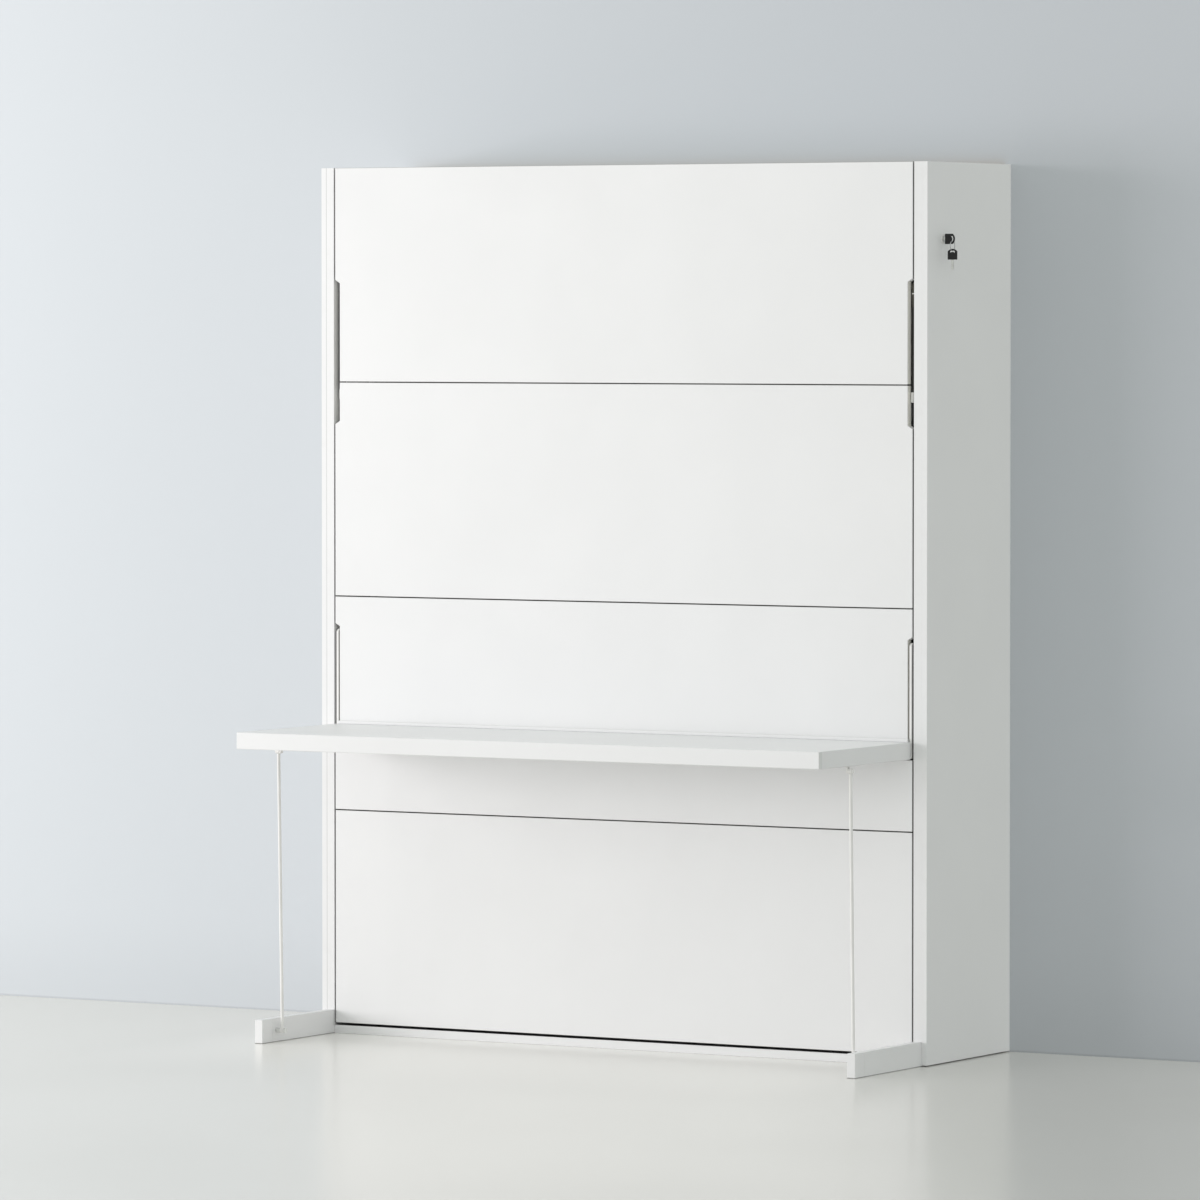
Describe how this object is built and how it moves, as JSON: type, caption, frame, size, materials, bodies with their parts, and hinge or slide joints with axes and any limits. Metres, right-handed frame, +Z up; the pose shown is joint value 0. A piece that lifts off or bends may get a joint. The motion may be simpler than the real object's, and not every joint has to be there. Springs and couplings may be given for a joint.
{
  "type": "wall bed with desk",
  "caption": "White wall bed, closed into its cabinet, with a full-width desk that stays level while the bed folds down",
  "frame": {"origin": "on the floor, at the middle of the cabinet's front plane", "axes": "+X to the right across the front, +Y back to the wall, +Z up; the front faces -Y"},
  "size_m": [1.7001, 0.86, 2.1],
  "materials": {
    "white_board": "white melamine-faced board, satin",
    "raw_timber": "plain sanded timber",
    "frame_steel": "grey powder coat",
    "white_steel": "white powder coat",
    "leg_steel": "near-black powder coat, with pale pads",
    "zinc": "zinc-plated steel",
    "black_plastic": "moulded black plastic",
    "rubber": "soft black rubber",
    "ticking": "quilted mattress cover",
    "webbing": "black woven webbing"
  },
  "bodies": {
    "cabinet": {"side_panel_left": "white_board", "side_panel_right": "white_board", "upright_left": "white_board", "upright_right": "white_board", "foot_beams": "white_board", "foot_caps": "white_board", "foot_pins": "zinc", "top_board": "white_board", "base_rail": "white_board", "back_panels": "white_board", "back_rail_top": "raw_timber", "back_rail_middle": "raw_timber", "back_rail_bottom": "raw_timber", "pivot_plates": "frame_steel", "bracket_screws": "zinc", "spring_studs": "frame_steel", "stop_blocks": "white_board", "stop_bumpers": "rubber", "lock_housing": "zinc"},
    "bed": {"front_board_top": "white_board", "front_board_upper": "white_board", "front_board_lower": "white_board", "front_board_bottom": "white_board", "side_rail_left": "frame_steel", "side_rail_right": "frame_steel", "end_rails": "frame_steel", "cross_rails": "frame_steel", "centre_rail": "frame_steel", "slats": "raw_timber", "slat_holders": "black_plastic", "mattress_stop": "white_board", "mattress": "ticking", "mattress_straps": "webbing", "spring_cranks": "frame_steel", "pivot_bushes": "black_plastic", "arm_pins": "frame_steel", "leg_pins": "frame_steel", "lock_strike": "frame_steel", "board_bolts": "zinc"},
    "desk": {"desk_panel": "white_board", "desk_front_lipping": "white_board", "desk_end_lippings": "white_board", "desk_rear_lip": "white_board", "desk_arms": "white_steel", "arm_tongues": "frame_steel", "rod_hangers": "white_steel"},
    "rod_left": {"rod_left": "white_steel"},
    "rod_right": {"rod_right": "white_steel"},
    "leg_left": {"leg_left": "leg_steel"},
    "leg_right": {"leg_right": "leg_steel"},
    "gas_cylinder_left": {"gas_cylinder_left": "frame_steel"},
    "gas_cylinder_right": {"gas_cylinder_right": "frame_steel"},
    "gas_piston_left": {"gas_piston_left": "zinc"},
    "gas_piston_right": {"gas_piston_right": "zinc"},
    "lock_key": {"lock_plug": "zinc", "key_blade": "zinc", "key_bow": "black_plastic"},
    "spare_key": {"key_ring": "zinc", "spare_bow": "black_plastic", "spare_blade": "zinc"}
  },
  "joints": [
    {"name": "bed_fold", "type": "hinge", "parent": "cabinet", "child": "bed", "pos_m": [0, 0.042, 0.289], "axis": [1, 0, 0], "range_deg": [0, 90]},
    {"name": "desk_level", "type": "hinge", "parent": "bed", "child": "desk", "pos_m": [0, 0.027, 0.961], "axis": [1, 0, 0], "range_deg": [-90, 0]},
    {"name": "rod_left_swing", "type": "hinge", "parent": "cabinet", "child": "rod_left", "pos_m": [-0.78, -0.259, 0.028], "axis": [1, 0, 0], "range_deg": [0, 90]},
    {"name": "rod_right_swing", "type": "hinge", "parent": "cabinet", "child": "rod_right", "pos_m": [0.78, -0.259, 0.028], "axis": [1, 0, 0], "range_deg": [0, 90]},
    {"name": "leg_left_fold", "type": "hinge", "parent": "bed", "child": "leg_left", "pos_m": [-0.786, 0.024, 1.812], "axis": [1, 0, 0], "range_deg": [-90, 0]},
    {"name": "leg_right_fold", "type": "hinge", "parent": "bed", "child": "leg_right", "pos_m": [0.786, 0.024, 1.812], "axis": [1, 0, 0], "range_deg": [-90, 0]},
    {"name": "gas_cylinder_left_tilt", "type": "hinge", "parent": "cabinet", "child": "gas_cylinder_left", "pos_m": [-0.787, 0.12409, 0.51453], "axis": [1, 0, 0], "range_deg": [0, 45]},
    {"name": "gas_cylinder_right_tilt", "type": "hinge", "parent": "cabinet", "child": "gas_cylinder_right", "pos_m": [0.787, 0.12409, 0.51453], "axis": [1, 0, 0], "range_deg": [0, 45]},
    {"name": "gas_piston_left_tilt", "type": "hinge", "parent": "bed", "child": "gas_piston_left", "pos_m": [-0.787, 0.042, 0.049], "axis": [1, 0, 0], "range_deg": [-45, 0]},
    {"name": "gas_piston_right_tilt", "type": "hinge", "parent": "bed", "child": "gas_piston_right", "pos_m": [0.787, 0.042, 0.049], "axis": [1, 0, 0], "range_deg": [-45, 0]},
    {"name": "lock_turn", "type": "hinge", "parent": "cabinet", "child": "lock_key", "pos_m": [0.832, 0.078, 1.921], "axis": [1, 0, 0], "range_deg": [-90, 0]},
    {"name": "spare_key_swing", "type": "hinge", "parent": "lock_key", "child": "spare_key", "pos_m": [0.8561, 0.078, 1.9121], "axis": [1, 0, 0], "range_deg": [-30, 110]}
  ],
  "couplings": [
    {"joint": "desk_level", "follows": "bed_fold", "ratio": -1},
    {"joint": "rod_left_swing", "follows": "bed_fold", "ratio": 1},
    {"joint": "rod_right_swing", "follows": "bed_fold", "ratio": 1},
    {"joint": "leg_left_fold", "follows": "bed_fold", "ratio": -1},
    {"joint": "leg_right_fold", "follows": "bed_fold", "ratio": -1},
    {"joint": "gas_cylinder_left_tilt", "follows": "bed_fold", "ratio": 0.5},
    {"joint": "gas_cylinder_right_tilt", "follows": "bed_fold", "ratio": 0.5},
    {"joint": "gas_piston_left_tilt", "follows": "bed_fold", "ratio": -0.5},
    {"joint": "gas_piston_right_tilt", "follows": "bed_fold", "ratio": -0.5}
  ]
}
